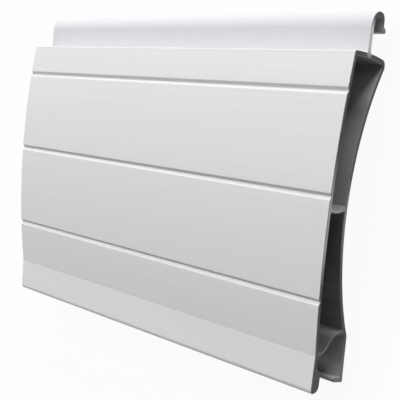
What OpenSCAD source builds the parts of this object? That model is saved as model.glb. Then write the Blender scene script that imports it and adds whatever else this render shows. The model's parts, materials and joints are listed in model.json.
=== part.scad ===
// Hollow aluminium slat of a roller shutter, a short cut length of one extrusion.
// It lies on its hollow back with the grooved face up: X runs along the slat,
// Y runs across it towards the hook, and Z is the height above the floor.

/* [Slat] */
// Length of the cut piece
slat_length = 106.5; // [60:0.5:400]
// Height that the face covers, from the shoulder to the end of the lip
cover_height = 76.3; // [72:0.1:84]
// Overall thickness, from the resting back to the crest of the face
slat_depth = 18.5; // [17.5:0.1:22]
// Thickness of the face, shoulder, back and leg
wall = 1.1; // [0.9:0.05:1.5]
// Thickness of the two inner webs
web = 0.75; // [0.6:0.05:1.2]
// Sag of the web at the waist
web_sag = 0.5; // [0.1:0.05:0.8]
// Distance of that web from the middle of the hollow back, towards the hook
web_shift = 0.5; // [0:0.1:2]
// Radius in the inner corners, where walls and webs meet
root_radius = 0.5; // [0.3:0.05:1]

/* [Face] */
// Radius of the bowed face
face_radius = 205; // [160:5:400]
// Distance of the crest below the middle of the bowed face
crest_shift = 1.3; // [-3:0.1:3]
// Distances of the three grooves below the shoulder
groove_drops = [8.3, 30.8, 54.3]; // [5:0.1:62]
// Width of a groove at the face
groove_width = 1.5; // [0.8:0.1:2]
// Depth of a groove
groove_depth = 0.6; // [0.3:0.05:0.8]
// Radius on the two edges of a groove
groove_radius = 0.8; // [0.3:0.1:1.2]
// Radius of the arched shoulder
shoulder_radius = 75; // [50:5:150]
// Rise of that arch at the neck
shoulder_rise = 0.4; // [0.2:0.05:0.8]
// Radius on the front edge of the shoulder
brow_radius = 0.6; // [0.3:0.05:1]

/* [Back] */
// Radius of the hollow back, which lies round the roll
back_radius = 59; // [54:1:90]
// Run of the hollow back past the rear roof of the pocket
hollow_run = 2.2; // [1.5:0.1:3]
// Radius of the rear edge of the shoulder, which flows into the hollow back
heel_radius = 1.5; // [0.8:0.1:1.8]

/* [Hook] */
// Height of the hook above the shoulder
hook_height = 9.7; // [8.5:0.1:11]
// Outer width of the hook, from the neck's front to its back
hook_width = 6.1; // [5.6:0.1:7]
// Depth of the hook, from its crown to the end of the toe
hook_depth = 4.25; // [3.8:0.05:4.8]
// Thickness of the neck and the hook
hook_wall = 1.2; // [1:0.05:1.4]
// Height of the neck's front over the resting back
neck_level = 9.4; // [8.6:0.1:10.5]
// Reach of the flared toe beyond the back of the hook
toe_reach = 1.2; // [0.8:0.1:1.4]
// Height of the toe below its flare
toe_height = 0.9; // [0.8:0.05:1.2]
// Slope of the flare out of the hook's back, in degrees from the floor
flare_slope = 65; // [45:1:70]

/* [Pocket] */
// Gap between two closed slats, from the lip to the next shoulder
joint_gap = 0.9; // [0.5:0.1:2.5]
// Room over the next slat's hook when the joint is closed
hook_clearance = 3.2; // [1.5:0.1:3.6]
// Room between the next slat's neck and the foot
foot_clearance = 3.5; // [2.8:0.1:4]
// Room between the next slat's neck and the middle of the step in the roof
step_clearance = 0.85; // [0.5:0.05:1.6]
// Height of the step in the roof of the pocket
roof_step = 3.3; // [2.5:0.1:4]
// Steepest slope of that step, in degrees
step_angle = 50; // [45:1:75]
// Radius in the rear corner of the pocket
pocket_radius = 1.5; // [0.6:0.1:2]
// Height of the lip at the lower end of the face
lip_height = 9.3; // [8:0.1:10.5]
// Thickness of the lip between the face and its nose
lip_wall = 1.3; // [1:0.05:1.6]
// Height of the nose, the thicker end of the lip
nose_height = 4.2; // [3.4:0.1:5]
// Thickness of the nose
nose_thickness = 3.65; // [3.1:0.05:4]
// Radius on the front edge of the nose
nose_front_radius = 1.4; // [0.8:0.1:1.6]
// Radius on the back edges of the nose
nose_back_radius = 1.5; // [0.8:0.1:1.6]
// Slope of the leg away from the floor, up from its foot, in degrees
leg_slope = 4; // [0:1:6]
// Radius on the outer corner between the leg and the foot
foot_radius = 0.35; // [0.2:0.05:0.55]
// Thickness of the foot
foot_thickness = 1.1; // [0.9:0.05:1.5]
// Slope of the foot from the leg up to its tip, in degrees
foot_slope = 14; // [6:1:20]

/* [Hidden] */

// Fineness of the curves, of the large arcs and of the arcs made of points
$fn = 72;
arc_sides = 720;
arc_turn = 5;
arc_steps = 6;
// Length by which shapes run past what they cut or join
over = 2;

// Pitch of a closed curtain: the foot stands on the next slat's shoulder
pitch = cover_height + joint_gap;

// Roof of the pocket, as distances below the shoulder
rear_roof = pitch - hook_height - hook_clearance;
front_roof = rear_roof + roof_step;

// Crest of the face, as a distance below the shoulder
crest_drop = (cover_height - lip_height) / 2 + crest_shift;

// Centre of the bowed face, in the section's own plane:
// across the slat from the shoulder, and up from the floor
face_centre = [-crest_drop, slat_depth - face_radius];

// Arched shoulder, highest at the neck's front, and the sharp edge that it forms with the face
shoulder_centre = [shoulder_rise - shoulder_radius, neck_level];
brow = apex(face_centre, shoulder_centre, face_radius, shoulder_radius);

// Round heel on the floor, which flows out of the shoulder, and the hollow
// back that touches it and runs down to the floor at its other end
heel_reach = shoulder_radius - heel_radius;
heel_centre = [
    shoulder_centre[0] + sqrt(pow(heel_reach, 2) - pow(neck_level - heel_radius, 2)),
    heel_radius
];
heel_start = shoulder_centre + shoulder_radius * unit(heel_centre - shoulder_centre);
hollow_end = [-rear_roof - hollow_run, 0];
back_centre = apex(hollow_end, heel_centre, back_radius, back_radius + heel_radius);
heel_end = heel_centre + heel_radius * unit(back_centre - heel_centre);
waist_drop = -back_centre[0];

// Room inside the walls at the waist, and the arc of the web that spans it
waist_floor = back_centre[1] + back_radius + wall;
waist_roof = slat_depth - wall;
web_radius = pow(waist_roof - waist_floor, 2) / 8 / web_sag + web_sag / 2;
web_centre = [web_shift - waist_drop - web_sag + web_radius, (waist_roof + waist_floor) / 2];
// Turn to either side that takes this arc into the walls
web_spread = 45;

// Slope at which a groove's round edge runs out of the face
groove_rise = 10;

// Step in the roof of the pocket, made of two equal arcs
step_radius = roof_step / 2 / (1 - cos(step_angle));
step_run = 2 * step_radius * sin(step_angle);
step_level = neck_level + step_clearance;

// Slope of the lip's inside, where it thickens into the nose
nose_slope = 45;

// Foot, which reaches under the hook of the next slat, and its round edges
foot_reach = neck_level - hook_wall - foot_clearance;
foot_centre = [foot_radius - pitch, foot_radius];
tip_share = 0.4;
tip_round = foot_thickness * tip_share;

// Back of the hook, the end of its toe, and the toe's round edges
hook_back = neck_level - hook_width;
toe_level = hook_height - hook_depth;
toe_share = 0.5;
toe_round = toe_height * toe_share;
// Shares of the hook's width that the front and the rear arc of its crown take up
crown_front_share = 0.6;
crown_rear_share = 0.3;
crown_front_radius = crown_front_share * hook_width;
crown_rear_radius = crown_rear_share * hook_width;

// Middle of the whole section, across the slat
section_middle = (hook_height - pitch) / 2;

// Height of the face at a place across the slat
function face_level(across) =
    face_centre[1] + sqrt(pow(face_radius, 2) - pow(across - face_centre[0], 2));

// Points on an arc, from one angle to another
function arc(centre, radius, from, to) =
    let (steps = max(arc_steps, ceil(abs(to - from) / arc_turn)))
    [for (i = [0:steps])
        let (a = from + (to - from) * i / steps)
        centre + radius * [cos(a), sin(a)]];

function unit(v) = v / norm(v);

// A way turned left by a right angle
function left(v) = [-v[1], v[0]];

// Point where the line from a along a_way meets the line from b along b_way
function meet(a, a_way, b, b_way) =
    a + a_way * cross(b - a, b_way) / cross(a_way, b_way);

// Point at set distances from a and from b, on the right of the way from a to b
function apex(a, b, from_a, from_b) =
    let (
        way = unit(b - a),
        along = (pow(from_a, 2) - pow(from_b, 2)) / norm(b - a) / 2 + norm(b - a) / 2,
        aside = sqrt(pow(from_a, 2) - pow(along, 2))
    )
    a + along * way - aside * left(way);

// Points of the arc that rounds the corner b between the points a and c
function corner(a, b, c, radius) =
    let (
        to_a = unit(a - b),
        to_c = unit(c - b),
        half = acos(to_a * to_c) / 2,
        centre = b + unit(to_a + to_c) * radius / sin(half),
        start = b + to_a * radius / tan(half) - centre,
        end = b + to_c * radius / tan(half) - centre,
        from = atan2(start[1], start[0]),
        turn = atan2(end[1], end[0]) - from,
        sweep = turn > 180 ? turn - 360 : turn < -180 ? turn + 360 : turn
    )
    arc(centre, radius, from, from + sweep);

// The stepped roof of the pocket from rear to front, at a depth below the chamber's floor
function roof(depth) = concat(
    arc(
        [-rear_roof + web - step_radius, step_level - step_run / 2],
        step_radius - depth, 0, step_angle
    ),
    arc(
        [-front_roof + web + step_radius, step_level + step_run / 2],
        step_radius + depth, 180 + step_angle, 180
    )
);

// Solid blank of the hollow part, down to the roof of the pocket
module blank() {
    intersection() {
        translate(face_centre)
            circle(face_radius, $fn = arc_sides);
        translate(shoulder_centre)
            circle(shoulder_radius, $fn = arc_sides);
        polygon(concat(
            [
                [over, slat_depth + over],
                [over, heel_start[1]],
                heel_start,
                heel_centre,
                heel_end,
                [-rear_roof, 0]
            ],
            roof(web),
            [[-front_roof, slat_depth + over]]
        ));
    }
}

// One hollow chamber, with its corners rounded, inside a band across the slat
module chamber(band) {
    offset(r = root_radius)
        offset(delta = -root_radius)
            difference() {
                intersection() {
                    translate(face_centre)
                        circle(face_radius - wall, $fn = arc_sides);
                    translate(shoulder_centre)
                        circle(shoulder_radius - wall, $fn = arc_sides);
                    polygon(band);
                }
                translate(back_centre)
                    circle(back_radius + wall, $fn = arc_sides);
            }
}

// Points along the sagging web from front to rear, at a distance above its middle
function web_line(above) =
    arc(web_centre, web_radius - above, 180 - web_spread, 180 + web_spread);

module upper_chamber() {
    chamber(concat(
        [[over, 0], [over, slat_depth]],
        web_line(web / 2)
    ));
}

module lower_chamber() {
    chamber(concat(
        web_line(-web / 2),
        [[-rear_roof + web, 0]],
        roof(0),
        [[-front_roof + web, slat_depth]]
    ));
}

// Round front edge of the shoulder, as the sliver that is cut away
module brow_cut() {
    along_face = left(unit(brow - face_centre));
    along_shoulder = -left(unit(brow - shoulder_centre));
    polygon(concat(
        corner(brow + over * along_shoulder, brow, brow + over * along_face, brow_radius),
        [brow + [over, over]]
    ));
}

// One groove, square to the face, with round edges
module groove_cut(drop) {
    bottom = [0, -groove_depth];
    edge = [groove_width / 2, 0];
    end = edge + over * [cos(groove_rise), sin(groove_rise)];
    side = concat(corner(bottom, edge, end, groove_radius), [end]);
    other_side = [for (i = [len(side) - 1:-1:0]) [-side[i][0], side[i][1]]];
    turn = asin((crest_drop - drop) / face_radius);
    translate(face_centre)
        rotate(-turn)
            translate([0, face_radius])
                polygon(concat([bottom], side, other_side));
}

// Straight lip with a nose, which laps over the next slat's shoulder
module lip() {
    step_in = nose_thickness - lip_wall;
    kink = [-cover_height + lip_height, face_level(-cover_height + lip_height)];
    end = [-cover_height, kink[1]];
    end_inside = end - [0, nose_thickness];
    nose_top = end_inside + [nose_height, 0];
    nose_root = nose_top + step_in * [1 / tan(nose_slope), 1];
    root = [-front_roof, nose_root[1]];
    // Radius behind the nose, as far as the roof of the pocket leaves room for it
    room = root[0] - nose_root[0] - root_radius;
    nose_root_radius = min(nose_back_radius, room / tan(nose_slope / 2));
    polygon(concat(
        [kink + [over, 0]],
        corner(kink, end, end_inside, nose_front_radius),
        corner(end, end_inside, nose_top, nose_back_radius),
        corner(end_inside, nose_top, nose_root, nose_back_radius),
        corner(nose_top, nose_root, root, nose_root_radius),
        corner(nose_root, root, root - [0, over], root_radius),
        [root + [web / 2, -root_radius]]
    ));
}

// Rear leg with the foot that carries the next slat's hook
module leg() {
    // Ways along the leg and the foot, and the ways out through their outer sides
    leg_way = [cos(leg_slope), sin(leg_slope)];
    leg_out = [sin(leg_slope), -cos(leg_slope)];
    foot_way = [sin(foot_slope), cos(foot_slope)];
    foot_out = [-cos(foot_slope), sin(foot_slope)];

    // Points on their outer and inner sides
    leg_back = foot_centre + foot_radius * leg_out;
    leg_front = leg_back - wall * leg_out;
    foot_under = foot_centre + foot_radius * foot_out;
    foot_top = foot_under - foot_thickness * foot_out;

    // Corners
    tip = meet(foot_under, foot_way, [0, foot_reach], [1, 0]);
    tip_top = meet(foot_top, foot_way, [0, foot_reach], [1, 0]);
    bend = meet(foot_top, foot_way, leg_front, leg_way);
    root = meet(leg_front, leg_way, [-rear_roof, 0], [0, 1]);
    polygon(concat(
        [root + [web / 2, pocket_radius]],
        corner(root + [0, over], root, bend, pocket_radius),
        corner(root, bend, tip_top, root_radius),
        corner(bend, tip_top, tip, tip_round),
        corner(tip_top, tip, foot_under, tip_round),
        arc(foot_centre, foot_radius, 180 - foot_slope, 270 + leg_slope),
        [meet(leg_back, leg_way, [-rear_roof + web / 2, 0], [0, 1])]
    ));
}

// Neck on the shoulder, the hook, and its flared toe
module hook() {
    inside = hook_height - hook_wall;
    neck_front = [shoulder_rise, neck_level];
    neck_back = neck_front - [0, hook_wall];
    crown_front = [hook_height, neck_level];
    crown_rear = [hook_height, hook_back];
    inner_front = [inside, neck_level - hook_wall];
    inner_rear = [inside, hook_back + hook_wall];
    toe_front = [toe_level, hook_back + hook_wall];
    toe_back = [toe_level, hook_back - toe_reach];
    toe_tip = toe_back + [toe_height, 0];
    flare = toe_tip + toe_reach * [1 / tan(flare_slope), 1];
    polygon(concat(
        [neck_back - [wall / 2, root_radius]],
        corner(neck_back - [0, over], neck_back, inner_front, root_radius),
        corner(neck_back, inner_front, inner_rear, crown_front_radius - hook_wall),
        corner(inner_front, inner_rear, toe_front, crown_rear_radius - hook_wall),
        corner(inner_rear, toe_front, toe_back, toe_round),
        corner(toe_front, toe_back, toe_tip, toe_round),
        corner(toe_back, toe_tip, flare, toe_round),
        corner(toe_tip, flare, crown_rear, toe_round),
        corner(flare, crown_rear, crown_front, crown_rear_radius),
        corner(crown_rear, crown_front, neck_front, crown_front_radius),
        corner(crown_front, neck_front, neck_front + [0, over], root_radius),
        [neck_front + [-wall / 2, root_radius]]
    ));
}

// The whole section
module section() {
    difference() {
        union() {
            difference() {
                union() {
                    blank();
                    leg();
                }
                translate(back_centre)
                    circle(back_radius, $fn = arc_sides);
            }
            lip();
            translate(heel_centre)
                circle(heel_radius);
            hook();
        }
        upper_chamber();
        lower_chamber();
        brow_cut();
        for (drop = groove_drops)
            groove_cut(drop);
    }
}

module slat() {
    color("#d8d9db")
        rotate([90, 0, 90])
            translate([-section_middle, 0, -slat_length / 2])
                linear_extrude(slat_length)
                    section();
}

slat();
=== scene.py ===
# %% [markdown]
# # A roller shutter slat, dressed for a picture
# The real thing is one hollow aluminium extrusion, sawn to a short length. The construction
# model gives its exact section. This lesson gives it what a drawing lacks: the fine break on
# the sawn edges, a satin outside, a plain inside, sawn ends, and studio light.

# %% Load the fixed frame
import json
import math

import bmesh
import bpy
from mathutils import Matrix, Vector


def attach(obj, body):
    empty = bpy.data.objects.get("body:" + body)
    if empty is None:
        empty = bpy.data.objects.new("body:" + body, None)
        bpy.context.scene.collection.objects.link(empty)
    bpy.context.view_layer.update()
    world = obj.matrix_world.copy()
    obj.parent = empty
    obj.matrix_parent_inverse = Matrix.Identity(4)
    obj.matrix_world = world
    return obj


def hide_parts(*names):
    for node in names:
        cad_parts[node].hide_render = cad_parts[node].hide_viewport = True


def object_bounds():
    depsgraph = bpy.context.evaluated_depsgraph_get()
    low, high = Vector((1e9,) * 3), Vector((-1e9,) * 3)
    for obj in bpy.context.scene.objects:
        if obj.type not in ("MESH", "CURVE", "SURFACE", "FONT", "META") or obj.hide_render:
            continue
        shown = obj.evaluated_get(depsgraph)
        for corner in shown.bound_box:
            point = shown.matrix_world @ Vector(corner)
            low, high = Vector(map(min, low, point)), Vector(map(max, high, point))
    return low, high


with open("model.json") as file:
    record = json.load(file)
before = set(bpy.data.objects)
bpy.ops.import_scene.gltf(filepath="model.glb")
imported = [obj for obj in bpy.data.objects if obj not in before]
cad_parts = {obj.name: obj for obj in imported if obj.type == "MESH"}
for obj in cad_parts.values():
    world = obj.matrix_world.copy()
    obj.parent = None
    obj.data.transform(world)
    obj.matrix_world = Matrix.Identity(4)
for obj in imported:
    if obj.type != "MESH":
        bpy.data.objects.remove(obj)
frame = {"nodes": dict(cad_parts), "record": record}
cad_low, cad_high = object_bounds()
millimetre = 0.001
half_length = cad_high.x
print("frame box in mm:", [round(x / millimetre, 2) for x in cad_high - cad_low])

# %% [markdown]
# ## The section, taken from the cut end
# The loaded model is made of loose triangles with knife-sharp ends. One could bevel all of its
# end edges, but a bevel slides along the long thin triangles of the cut face and tears it.
# So only the cut face of one end is kept. It is the whole section, and a slat is nothing
# more than a section drawn out along its length.

# %% Keep one cut face
weld, flush = 0.001 * millimetre, 0.01 * millimetre
body = bmesh.new()
body.from_mesh(frame["nodes"]["slat"].data)
bmesh.ops.remove_doubles(body, verts=body.verts[:], dist=weld)
elsewhere = [f for f in body.faces if any(v.co.x < half_length - flush for v in f.verts)]
bmesh.ops.delete(body, geom=elsewhere, context="FACES")
round_it = sum(1 for e in body.edges if e.is_boundary)
print("cut face:", len(body.faces), "triangles,", round_it, "edges round it")

# %% [markdown]
# ## Fairing the three large arcs
# The face, the hollow back and the shoulder are true arcs, but the loaded mesh follows them in flats
# of up to six millimetres, and a satin surface shows each flat as a band. The frame is fixed, so it
# can't be loaded finer. Two flats that meet on an arc give its circle, which runs through their three
# points. Where that circle has the radius of one of the three arcs, the flats are divided, and the
# new points are pushed out to the circle.

# %% A circle through three points
def across(vert):
    return Vector((vert.co.y, vert.co.z))


def circle_through(first, second, third):
    """Centre and radius of the circle through three points."""
    a, b = second - first, third - first
    out = Vector((
        b.y * a.length_squared - a.y * b.length_squared,
        a.x * b.length_squared - b.x * a.length_squared,
    )) / (2 * (a.x * b.y - a.y * b.x))
    return first + out, out.length


# %% Divide and push out the arcs
shortest_flat, alike = millimetre, 0.3 * millimetre


def fair_arc(name, radius, pieces):
    """Divides the rim's flats on arcs of this radius, and pushes the new points out to the arc."""
    flats = {e for e in body.edges if e.is_boundary and e.calc_length() > shortest_flat}
    centres = {}
    for vert in body.verts:
        beside = [e for e in vert.link_edges if e in flats]
        if len(beside) == 2:
            ends = [across(e.other_vert(vert)) for e in beside]
            centre, found = circle_through(ends[0], across(vert), ends[1])
            if abs(found - radius * millimetre) < alike:
                centres.update((e, (centre, found)) for e in beside)
    made = 0
    for flat, (centre, found) in centres.items():
        cut = bmesh.ops.subdivide_edges(body, edges=[flat], cuts=pieces - 1)
        for vert in (g for g in cut["geom_inner"] if isinstance(g, bmesh.types.BMVert)):
            vert.co.y, vert.co.z = centre + (across(vert) - centre).normalized() * found
            made += 1
    print(name + ":", "radius", radius, "mm,", len(centres), "flats,", made, "new points")


fair_arc("bowed face", radius=205, pieces=6)
fair_arc("hollow back", radius=59, pieces=4)
fair_arc("arched shoulder", radius=75, pieces=3)

# %% [markdown]
# ## The broken edge of a saw cut
# A saw leaves a thin bright burr, and one stroke of a file takes it off. That narrow slope is
# what catches the light along the outline of a cut end. An inset of the whole cut face makes a
# rim of even width round the outside and round both chambers, and sinking the outer line of
# that rim turns it into the filed slope.

# %% Inset the cut face and sink its outer line
file_width = 0.10 * millimetre
cut_face = body.faces[:]
rim = bmesh.ops.inset_region(
    body, faces=cut_face, thickness=file_width, depth=0.0,
    use_boundary=True, use_even_offset=True, use_interpolate=False,
)["faces"]
outer_line = {v for e in body.edges if e.is_boundary for v in e.verts}
bmesh.ops.translate(body, verts=list(outer_line), vec=(-file_width, 0, 0))
print("filed rim:", len(rim), "faces")

# %% [markdown]
# ## Drawing the section out
# The open outer line is extruded to the middle of the slat, and the half is mirrored there, so both
# ends are alike. Mirroring can turn a shape inside out, so the normals are made to point out
# again once the two halves are merged.

# %% Extrude to the middle and mirror
open_edges = [e for e in body.edges if e.is_boundary]
drawn = bmesh.ops.extrude_edge_only(body, edges=open_edges)["geom"]
bmesh.ops.translate(
    body, verts=[g for g in drawn if isinstance(g, bmesh.types.BMVert)],
    vec=(file_width - half_length, 0, 0),
)
bmesh.ops.mirror(
    body, geom=body.verts[:] + body.edges[:] + body.faces[:], axis="X", merge_dist=weld,
)
bmesh.ops.remove_doubles(body, verts=body.verts[:], dist=weld / 2)
bmesh.ops.recalc_face_normals(body, faces=body.faces[:])
loose = sum(1 for e in body.edges if len(e.link_faces) != 2)
volume = round(body.calc_volume() / millimetre**3)
print("drawn out:", len(body.faces), "faces,", loose, "open edges, volume", volume, "mm3")

# %% [markdown]
# ## Which face gets which finish
# The outside was coated, the chambers never see daylight, the ends were sawn afterwards and their
# edges filed. The slope of a face along the slat tells ends and filed rim apart. The long
# faces form three tubes that meet nowhere: the largest is the outside, the others are the chambers.
# What faces the middle of the pocket or the hook gets the darker plain finish too: painted shade.
# The mounts in the frame's record say where these middles are.

# %% Tell ends, rims and tubes apart
finish_order = ["satin_outside", "plain_chamber", "sawn_end", "filed_edge"]
satin_number, plain_number, sawn_number, filed_number = range(len(finish_order))
lengthwise, endwise = 0.2, 0.9
for face in body.faces:
    face.material_index = sawn_number if abs(face.normal.x) > endwise else filed_number

unsorted, tubes = {f for f in body.faces if abs(f.normal.x) < lengthwise}, []
while unsorted:
    tube, to_visit = set(), [unsorted.pop()]
    while to_visit:
        face = to_visit.pop()
        tube.add(face)
        beside = {n for e in face.edges for n in e.link_faces} & unsorted
        unsorted -= beside
        to_visit.extend(beside)
    tubes.append(tube)
tubes.sort(key=lambda tube: -sum(f.calc_area() for f in tube))
for tube in tubes:
    for face in tube:
        face.material_index = satin_number if tube is tubes[0] else plain_number
print("tubes:", [len(t) for t in tubes], "faces")

# %% Leave the pocket and the hook plain inside
mounts = {m["name"]: Vector(m["pos_m"]) for m in frame["record"]["mounts"]}
# The plain, darker finish inside the pocket and the hook is painted shade.
shaded_hollows = {
    "pocket": {"above mount": 1.0 * millimetre, "reach": 9.2 * millimetre},
    "hook": {"above mount": 0.0, "reach": 4.2 * millimetre},
}
for name, hollow in shaded_hollows.items():
    middle = mounts[name] + Vector((0, 0, hollow["above mount"]))
    inside = 0
    for face in tubes[0]:
        inward = middle - face.calc_center_median()
        inward.x = 0
        if inward.length < hollow["reach"] and inward.dot(face.normal) > 0:
            face.material_index = plain_number
            inside += 1
    print("inside the", name + ":", inside, "faces")

# %% [markdown]
# ## Smooth and sharp
# Small radii are made of narrow flats that should shade as one round, while real edges stay crisp.
# The line where the bowed face meets the lip turns by only six degrees, yet it shows in any light,
# so a slight turn between two wide faces counts as an edge as well.

# %% Mark the crisp edges
round_limit, fold_limit, wide = math.radians(32), math.radians(4), 0.5 * millimetre


def width_of(face):
    return face.calc_area() / half_length


for face in body.faces:
    face.smooth = True
for edge in body.edges:
    turn = edge.calc_face_angle(0.0)
    fold = turn > fold_limit and all(width_of(f) > wide for f in edge.link_faces)
    edge.smooth = not (turn > round_limit or fold)
print("crisp edges:", sum(1 for e in body.edges if not e.smooth))

# %% [markdown]
# ## The piece itself
# A modifier that weighs normals by area keeps the broad flats flat, and lets the small rounds
# between them take up the whole turn. The piece stands for the slat of the frame.

# %% Make the piece
slat_mesh = bpy.data.meshes.new("slat_dressed")
body.to_mesh(slat_mesh)
body.free()
slat = bpy.data.objects.new("slat_dressed", slat_mesh)
bpy.context.scene.collection.objects.link(slat)
even = slat.modifiers.new("flats stay flat", "WEIGHTED_NORMAL")
even.mode = "FACE_AREA"
even.weight = 90
even.keep_sharp = True
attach(slat, "root")
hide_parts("slat")
print("slat:", len(slat_mesh.vertices), "points")

# %% [markdown]
# ## Helpers for node trees
# Every finish here is a tree of nodes. Three helpers keep the cells short: one adds a node with its
# values, one starts a node group with named sockets, and one sets a finished tree out in columns,
# so that it can be read in the editor from left to right.

# %% Add, group and lay out nodes
def add(tree, kind, values=None):
    node = tree.nodes.new(kind)
    for name, value in (values or {}).items():
        node.inputs[name].default_value = value
    return node


def make_group(name, inputs, outputs):
    group = bpy.data.node_groups.new(name, "ShaderNodeTree")
    for label, kind, value in inputs:
        socket = group.interface.new_socket(label, in_out="INPUT", socket_type=kind)
        if value is not None:
            socket.default_value = value
    for label, kind in outputs:
        group.interface.new_socket(label, in_out="OUTPUT", socket_type=kind)
    return group, group.nodes.new("NodeGroupInput"), group.nodes.new("NodeGroupOutput")


def lay_out(tree, title):
    """Sets nodes out in columns, each node to the left of all that it feeds."""
    column_width, row_height = 260, 240
    column = {node.name: 0 for node in tree.nodes}
    for _ in tree.nodes:
        for link in tree.links:
            left_of_it = column[link.to_node.name] + 1
            column[link.from_node.name] = max(column[link.from_node.name], left_of_it)
    rows = [0] * (max(column.values()) + 1)
    for node in tree.nodes:
        number = column[node.name]
        node.location = (-column_width * number, -row_height * rows[number])
        rows[number] += 1
    print(title + ":", len(tree.nodes), "nodes in", len(rows), "columns")


# %% [markdown]
# ## Lines of the die
# An extruded surface carries faint lines along its length, drawn by the die. A coat of paint softens
# them on the outside, and in the chambers they stay. Both finishes use the same lines at
# other strengths, so they are a node group: noise, squeezed across the slat and stretched along it.

# %% Node group for lines along the slat
stretched = (0.006, 1.0, 1.0)
die_lines, lines_in, lines_out = make_group(
    "die lines",
    [("Place", "NodeSocketVector", None), ("Per metre", "NodeSocketFloat", 1600.0)],
    [("Lines", "NodeSocketFloat"), ("Streaks", "NodeSocketFloat")],
)
stretch = add(die_lines, "ShaderNodeMapping", {"Scale": stretched})
fine = add(die_lines, "ShaderNodeTexNoise", {"Detail": 3.0, "Roughness": 0.6})
broad = add(die_lines, "ShaderNodeTexNoise", {"Scale": 170.0, "Detail": 2.0})
die_lines.links.new(lines_in.outputs["Place"], stretch.inputs["Vector"])
die_lines.links.new(stretch.outputs["Vector"], fine.inputs["Vector"])
die_lines.links.new(stretch.outputs["Vector"], broad.inputs["Vector"])
die_lines.links.new(lines_in.outputs["Per metre"], fine.inputs["Scale"])
die_lines.links.new(fine.outputs["Fac"], lines_out.inputs["Lines"])
die_lines.links.new(broad.outputs["Fac"], lines_out.inputs["Streaks"])
lay_out(die_lines, die_lines.name)

# %% [markdown]
# ## A grain for every metal surface
# Sprayed paint, oxide and a sawn face are all a little uneven from spot to spot. This second group
# gives a fine grain and a soft cloudiness, without direction.

# %% Node group for grain
metal_grain, grain_in, grain_out = make_group(
    "metal grain",
    [("Place", "NodeSocketVector", None), ("Per metre", "NodeSocketFloat", 4000.0)],
    [("Grain", "NodeSocketFloat"), ("Cloud", "NodeSocketFloat")],
)
grain_noise = add(metal_grain, "ShaderNodeTexNoise", {"Detail": 2.0, "Roughness": 0.5})
cloud_noise = add(metal_grain, "ShaderNodeTexNoise", {"Scale": 60.0, "Detail": 3.0})
metal_grain.links.new(grain_in.outputs["Place"], grain_noise.inputs["Vector"])
metal_grain.links.new(grain_in.outputs["Place"], cloud_noise.inputs["Vector"])
metal_grain.links.new(grain_in.outputs["Per metre"], grain_noise.inputs["Scale"])
metal_grain.links.new(grain_noise.outputs["Fac"], grain_out.inputs["Grain"])
metal_grain.links.new(cloud_noise.outputs["Fac"], grain_out.inputs["Cloud"])
lay_out(metal_grain, metal_grain.name)

# %% [markdown]
# ## Patches that differ from the rest
# Some places are painted lighter and others darker than the rest: painted light and painted shade.
# One soft oval about a place on the section serves for all of them. It runs the whole length of the
# slat, so only the two directions across it count: a spherical gradient whose place is divided by the
# oval's reach.

# %% Node group for a soft oval
oval_patch, patch_in, patch_out = make_group(
    "oval patch",
    [
        ("Place", "NodeSocketVector", None),
        ("Middle", "NodeSocketVector", None),
        ("Reach", "NodeSocketVector", (1.0, 1.0, 1.0)),
    ],
    [("Mask", "NodeSocketFloat")],
)
apart = add(oval_patch, "ShaderNodeVectorMath")
apart.operation = "SUBTRACT"
scaled = add(oval_patch, "ShaderNodeVectorMath")
scaled.operation = "DIVIDE"
ball = add(oval_patch, "ShaderNodeTexGradient")
ball.gradient_type = "SPHERICAL"
soft_edge = add(oval_patch, "ShaderNodeMapRange", {"From Min": 0.05, "From Max": 0.6})
oval_patch.links.new(patch_in.outputs["Place"], apart.inputs[0])
oval_patch.links.new(patch_in.outputs["Middle"], apart.inputs[1])
oval_patch.links.new(apart.outputs["Vector"], scaled.inputs[0])
oval_patch.links.new(patch_in.outputs["Reach"], scaled.inputs[1])
oval_patch.links.new(scaled.outputs["Vector"], ball.inputs["Vector"])
oval_patch.links.new(ball.outputs["Fac"], soft_edge.inputs["Value"])
oval_patch.links.new(soft_edge.outputs["Result"], patch_out.inputs["Mask"])
lay_out(oval_patch, oval_patch.name)

# %% [markdown]
# ## Helpers for the four finishes
# Each finish is one Principled shader. What is the same all over is set on its sockets. What
# changes over the surface comes through a colour mix, a range for the roughness, and a bump.

# %% Start a finish and place a group in it
def start_finish(name, metallic, specular):
    material = bpy.data.materials.new(name)
    material.use_nodes = True
    tree = material.node_tree
    shader = tree.nodes["Principled BSDF"]
    shader.inputs["Metallic"].default_value = metallic
    shader.inputs["Specular IOR Level"].default_value = specular
    return material, tree, shader, add(tree, "ShaderNodeTexCoord").outputs["Object"]


def place_group(tree, group, where, values):
    node = tree.nodes.new("ShaderNodeGroup")
    node.node_tree = group
    for name, value in values.items():
        node.inputs[name].default_value = value
    tree.links.new(where, node.inputs["Place"])
    return node


# %% Turn a mask into a colour, a range or a bump
def grey(level, tint=(1.0, 1.0, 1.0)):
    return tuple(level * share for share in tint)


def spread(tree, mask, low, high, start=0.3, stop=0.7):
    """Stretches what lies between start and stop to the range from low to high."""
    node = add(tree, "ShaderNodeMapRange", {
        "From Min": start, "From Max": stop, "To Min": low, "To Max": high,
    })
    tree.links.new(mask, node.inputs["Value"])
    return node.outputs["Result"]


def blend_colour(tree, mask, high, low=None, under=None):
    """Mixes a colour, where the mask says so, over a low one or over what another mix gives."""
    mix = tree.nodes.new("ShaderNodeMix")
    mix.data_type = "RGBA"
    mix.inputs["B"].default_value = (*high, 1.0)
    tree.links.new(mask, mix.inputs["Factor"])
    if under is None:
        mix.inputs["A"].default_value = (*low, 1.0)
    else:
        tree.links.new(under.outputs["Result"], mix.inputs["A"])
    return mix


def raise_surface(tree, shader, height, strength, depth):
    bump = add(tree, "ShaderNodeBump", {"Strength": strength, "Distance": depth * millimetre})
    tree.links.new(height, bump.inputs["Height"])
    tree.links.new(bump.outputs["Normal"], shader.inputs["Normal"])


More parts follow.
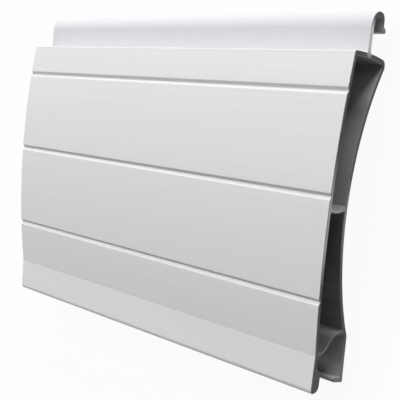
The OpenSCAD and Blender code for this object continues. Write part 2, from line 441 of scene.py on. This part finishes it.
# %% Lay patches over a colour
endless = 1000.0


def lay_patches(tree, where, under, patches):
    """Mixes colours over another one, each in a soft oval: its middle and reach in mm, its colour."""
    for name, (middle, reach, colour) in patches.items():
        oval = place_group(tree, oval_patch, where, {
            "Middle": Vector((0, *middle)) * millimetre,
            "Reach": (endless, reach[0] * millimetre, reach[1] * millimetre),
        })
        oval.label = name
        under = blend_colour(tree, oval.outputs["Mask"], colour, under=under)
    return under


# %% [markdown]
# ## The satin outside
# A thin silver-white coat, neutral, with a soft sheen. The die's lines only just show in it. It is
# not a bare metal: the coat scatters most of the light, so it stays light from every side. The hook
# and the shoulder are a little greyer and cooler: a cool tint, and painted shade that tones down the
# strong light on them. The front edge of the shoulder and the bottom of each groove are darkened a
# little: painted shade.

# %% Satin coat
# The greyer, cooler hook colour is a cool tint and painted shade, toning down the strong light on the
# hook and shoulder.
hook_shade_grey = (0.625, 0.62, 0.645)
neck_start, neck_full = 34.0 * millimetre, 35.0 * millimetre
groove_shade_reach = (0.45, 0.45)
# Ovals of painted shade over the coat.
satin_painted_shade = {
    "painted shade on the shoulder": ((33.9, 6.5), (1.6, 9.0), hook_shade_grey),
    # Painted shade: the front edge of the shoulder is darkened to soften its highlight.
    "painted shade on the front edge": ((33.8, 15.25), (0.8, 0.9), grey(0.62)),
    # Painted shade: the bottom of each groove is darkened.
    "painted shade in the first groove": ((25.85, 16.5), groove_shade_reach, grey(0.62)),
    "painted shade in the second groove": ((3.35, 18.2), groove_shade_reach, grey(0.52)),
    "painted shade in the third groove": ((-20.15, 17.3), groove_shade_reach, grey(0.52)),
}
satin, tree, shader, where = start_finish("satin_outside", metallic=0.0, specular=0.15)
lines = place_group(tree, die_lines, where, {"Per metre": 1500.0})
grain = place_group(tree, metal_grain, where, {"Per metre": 5000.0})
coat = blend_colour(
    tree, spread(tree, lines.outputs["Lines"], 0.0, 1.0), low=grey(0.692), high=grey(0.720),
)
part = add(tree, "ShaderNodeSeparateXYZ")
tree.links.new(where, part.inputs["Vector"])
# Beyond the neck the coat turns to the greyer hook colour: painted shade.
beyond_neck_shade = spread(tree, part.outputs["Y"], 0.0, 1.0, neck_start, neck_full)
tone = blend_colour(tree, beyond_neck_shade, hook_shade_grey, under=coat)
tone = lay_patches(tree, where, tone, satin_painted_shade)
sheen = spread(tree, lines.outputs["Streaks"], 0.45, 0.55)
tree.links.new(tone.outputs["Result"], shader.inputs["Base Color"])
tree.links.new(sheen, shader.inputs["Roughness"])
raise_surface(tree, shader, grain.outputs["Grain"], strength=0.08, depth=0.01)
lay_out(tree, satin.name)

# %% [markdown]
# ## The plain chambers
# Inside, the metal is as it left the press: greyer, with plain lines and a dull, slightly blue film of
# oxide. Its grey is kept darker than bare metal, partly as painted shade. Ovals of painted light make
# it lighter above the waist web, below the shoulder, on the floor of the pocket, by the foot and
# inside the hook; ovals of painted shade make it darker below the waist web, on the stepped web and in
# the corner by the foot. Each such place is one oval, laid over the ones before it.

# %% Plain metal of the chambers
oxide, less_blue_tint = (1.0, 1.008, 1.034), (1.0, 1.008, 1.02)
# Ovals of painted light and painted shade over the plain grey.
chamber_light_and_shade = {
    "painted light above the waist web": ((8.0, 11.0), (20.0, 16.0), grey(0.37, oxide)),
    "painted shade below the waist web": ((-8.5, 12.0), (10.5, 12.0), grey(0.16, oxide)),
    "painted shade on the stepped web": ((-31.5, 11.0), (4.5, 6.0), grey(0.10, oxide)),
    "painted light in the pocket": ((-37.0, 2.0), (9.0, 5.0), grey(0.42, less_blue_tint)),
    "painted light by the foot": ((-40.7, 1.8), (3.6, 4.0), grey(0.62, less_blue_tint)),
    "painted shade in the corner": ((-41.9, 1.9), (0.65, 2.4), grey(0.44, less_blue_tint)),
    "painted light inside the hook": ((40.5, 4.5), (2.5, 1.5), grey(0.56, less_blue_tint)),
    "painted light below the shoulder": ((27.0, 3.5), (6.5, 6.0), grey(0.46, oxide)),
}
plain, tree, shader, where = start_finish("plain_chamber", metallic=0.0, specular=0.3)
lines = place_group(tree, die_lines, where, {"Per metre": 900.0})
grain = place_group(tree, metal_grain, where, {"Per metre": 3000.0})
# The plain grey itself is kept darker than bare metal, partly as painted shade.
tone = blend_colour(
    tree, spread(tree, lines.outputs["Lines"], 0.0, 1.0),
    low=grey(0.22, oxide), high=grey(0.30, oxide),
)
tone = lay_patches(tree, where, tone, chamber_light_and_shade)
sheen = spread(tree, grain.outputs["Cloud"], 0.42, 0.58)
tree.links.new(tone.outputs["Result"], shader.inputs["Base Color"])
tree.links.new(sheen, shader.inputs["Roughness"])
raise_surface(tree, shader, lines.outputs["Lines"], strength=0.3, depth=0.02)
lay_out(tree, plain.name)

# %% [markdown]
# ## The sawn ends
# A fine-toothed blade leaves close scratches that run one way over the whole cut, and a dull surface.
# Its grey is kept nearly black here, as painted shade. The scratches are lines again, but they lie in
# the plane of the cut, so this finish turns the place vector before it asks for lines. Round the waist
# web, on the thin neck, at the hook's toe and along the foot the cut is painted lighter: painted
# light.

# %% Sawn metal
saw_turn = (0.0, math.radians(90), math.radians(12))
bare = (1.0, 1.0, 1.01)
# Ovals of painted light over the sawn grey.
sawn_painted_light = {
    "painted light round the waist web": ((-3.0, 16.0), (16.0, 9.0), grey(0.48, bare)),
    "painted light on the neck": ((37.2, 8.8), (4.9, 2.5), grey(0.92, bare)),
    "painted light on the toe": ((39.7, 3.2), (2.0, 1.8), grey(0.24, bare)),
    "painted light on the foot": ((-40.0, 1.5), (7.0, 5.0), grey(0.28, bare)),
}
sawn, tree, shader, where = start_finish("sawn_end", metallic=0.0, specular=0.2)
turned = add(tree, "ShaderNodeMapping", {"Rotation": saw_turn})
tree.links.new(where, turned.inputs["Vector"])
lines = place_group(tree, die_lines, turned.outputs["Vector"], {"Per metre": 2600.0})
grain = place_group(tree, metal_grain, where, {"Per metre": 6000.0})
# The sawn grey is kept nearly black, as painted shade.
tone = blend_colour(
    tree, spread(tree, lines.outputs["Lines"], 0.0, 1.0),
    low=grey(0.05, bare), high=grey(0.085, bare),
)
tone = lay_patches(tree, where, tone, sawn_painted_light)
sheen = spread(tree, grain.outputs["Grain"], 0.42, 0.62)
tree.links.new(tone.outputs["Result"], shader.inputs["Base Color"])
tree.links.new(sheen, shader.inputs["Roughness"])
raise_surface(tree, shader, lines.outputs["Lines"], strength=0.35, depth=0.02)
lay_out(tree, sawn.name)

# %% [markdown]
# ## The filed edges
# The file cuts fresh metal, so the narrow slope round each cut is brighter than the sawn face beside
# it, and a little more like bare metal.

# %% Filed metal
filed, tree, shader, where = start_finish("filed_edge", metallic=0.3, specular=0.3)
grain = place_group(tree, metal_grain, where, {"Per metre": 3500.0})
tone = blend_colour(
    tree, spread(tree, grain.outputs["Grain"], 0.0, 1.0),
    low=grey(0.14, bare), high=grey(0.22, bare),
)
sheen = spread(tree, grain.outputs["Cloud"], 0.32, 0.48)
tree.links.new(tone.outputs["Result"], shader.inputs["Base Color"])
tree.links.new(sheen, shader.inputs["Roughness"])
lay_out(tree, filed.name)

# %% Give the piece its finishes
for material in (satin, plain, sawn, filed):
    slat_mesh.materials.append(material)
for number, name in enumerate(finish_order):
    print(name + ":", sum(1 for p in slat_mesh.polygons if p.material_index == number), "faces")

# %% [markdown]
# ## Floor and background
# A white sheet lies under the slat. To the camera, and in reflections, most of it is plain white,
# and the rest is an ordinary matt surface, so that the shadow of the slat still lies on it.

# %% White floor
floor_half = 3.0
sheet = bmesh.new()
bmesh.ops.create_grid(sheet, x_segments=1, y_segments=1, size=floor_half)
floor_mesh = bpy.data.meshes.new("floor")
sheet.to_mesh(floor_mesh)
sheet.free()
floor = bpy.data.objects.new("floor", floor_mesh)
bpy.context.scene.collection.objects.link(floor)
print("floor:", [round(x, 2) for x in floor.dimensions])


# %% What the camera sees
def seen_directly(tree):
    """One for rays from the camera, in a reflection or through glass, and nothing for light."""
    ray = add(tree, "ShaderNodeLightPath")
    total = ray.outputs["Is Camera Ray"]
    for name in ("Is Glossy Ray", "Is Transmission Ray"):
        top = add(tree, "ShaderNodeMath")
        top.operation = "MAXIMUM"
        tree.links.new(total, top.inputs[0])
        tree.links.new(ray.outputs[name], top.inputs[1])
        total = top.outputs["Value"]
    return total


# %% Paper of the floor
pure_white = (1.0, 1.0, 1.0, 1.0)
paper_white = (0.80, 0.80, 0.80, 1.0)
white_share = 0.94
paper = bpy.data.materials.new("white_sheet")
paper.use_nodes = True
tree = paper.node_tree
tree.nodes.clear()
matt = add(tree, "ShaderNodeBsdfDiffuse", {"Color": paper_white})
plain_white = add(tree, "ShaderNodeEmission", {"Color": pure_white, "Strength": 1.0})
share = add(tree, "ShaderNodeMath")
share.operation = "MULTIPLY"
share.inputs[1].default_value = white_share
both = add(tree, "ShaderNodeMixShader")
output = add(tree, "ShaderNodeOutputMaterial")
tree.links.new(seen_directly(tree), share.inputs[0])
tree.links.new(share.outputs["Value"], both.inputs["Fac"])
tree.links.new(matt.outputs["BSDF"], both.inputs[1])
tree.links.new(plain_white.outputs["Emission"], both.inputs[2])
tree.links.new(both.outputs["Shader"], output.inputs["Surface"])
lay_out(tree, paper.name)
floor_mesh.materials.append(paper)

# %% [markdown]
# ## Soft light
# Two broad lamps light the slat, and the room adds an even weak light from all round. One lamp hangs
# over the face, a little towards the hook, so the face grows darker from the shoulder down and each
# groove shows one dark and one bright side. The other stands low beyond the hook. It brightens the
# hook's crown and shines along the near end, where the webs shade the chambers below them. The white
# that the camera sees behind the slat gives no light, or it would wash these shades out.

# %% Room light
room_level = 0.14
room = bpy.data.worlds.new("room")
bpy.context.scene.world = room
room.use_nodes = True
tree = room.node_tree
tree.nodes.clear()
dim = add(tree, "ShaderNodeBackground", {"Color": pure_white, "Strength": room_level})
white = add(tree, "ShaderNodeBackground", {"Color": pure_white, "Strength": 1.0})
both = add(tree, "ShaderNodeMixShader")
output = add(tree, "ShaderNodeOutputWorld")
tree.links.new(seen_directly(tree), both.inputs["Fac"])
tree.links.new(dim.outputs["Background"], both.inputs[1])
tree.links.new(white.outputs["Background"], both.inputs[2])
tree.links.new(both.outputs["Shader"], output.inputs["Surface"])
lay_out(tree, room.name)


# %% Two broad lamps
def broad_lamp(name, towards, distance, level, size=0.9):
    """A square soft lamp that looks at the slat, with the level it gives on a face turned to it."""
    lamp = bpy.data.lights.new(name, "AREA")
    lamp.shape = "SQUARE"
    lamp.size = size
    lamp.energy = level * math.pi**2 * distance**2
    holder = bpy.data.objects.new(name, lamp)
    way = Vector(towards).normalized()
    holder.location = way * distance
    holder.rotation_euler = way.to_track_quat("Z", "Y").to_euler()
    bpy.context.scene.collection.objects.link(holder)
    print(name + ":", round(lamp.energy, 1), "W at", distance, "m")


broad_lamp("lamp_over_the_face", towards=(-0.30, 0.50, 0.87), distance=1.4, level=0.8633)
broad_lamp("lamp_beyond_the_hook", towards=(0.18, 0.95, 0.24), distance=2.0, level=0.6206)

# %% [markdown]
# ## Camera
# The picture was taken close up, from beyond the near end, looking down on the face as the slat lies
# here. The place and the three turns, in degrees about X, Y and Z, come from fitting a camera to
# edges and grooves at both ends. A little shift stands for the picture's off-centre crop.

# %% Camera
picture = 400
focal_pixels, middle_x, middle_y = 655.0, 203.9, 223.4
place = Vector((116.91, 16.12, 144.52)) * millimetre
turns = (-4.454, 38.165, 7.082)
eye = bpy.data.cameras.new("camera")
eye.sensor_width = 36.0
eye.lens = focal_pixels / picture * eye.sensor_width
eye.shift_x = (picture / 2 - middle_x) / picture
eye.shift_y = (middle_y - picture / 2) / picture
eye.clip_start, eye.clip_end = 0.01, 20.0
camera = bpy.data.objects.new("camera", eye)
camera.location = place
camera.rotation_euler = [math.radians(angle) for angle in turns]
bpy.context.scene.collection.objects.link(camera)
bpy.context.scene.camera = camera
bpy.context.scene.view_settings.view_transform = "Standard"
print("camera:", round(eye.lens, 1), "mm lens, shift", round(eye.shift_x, 4), round(eye.shift_y, 4))
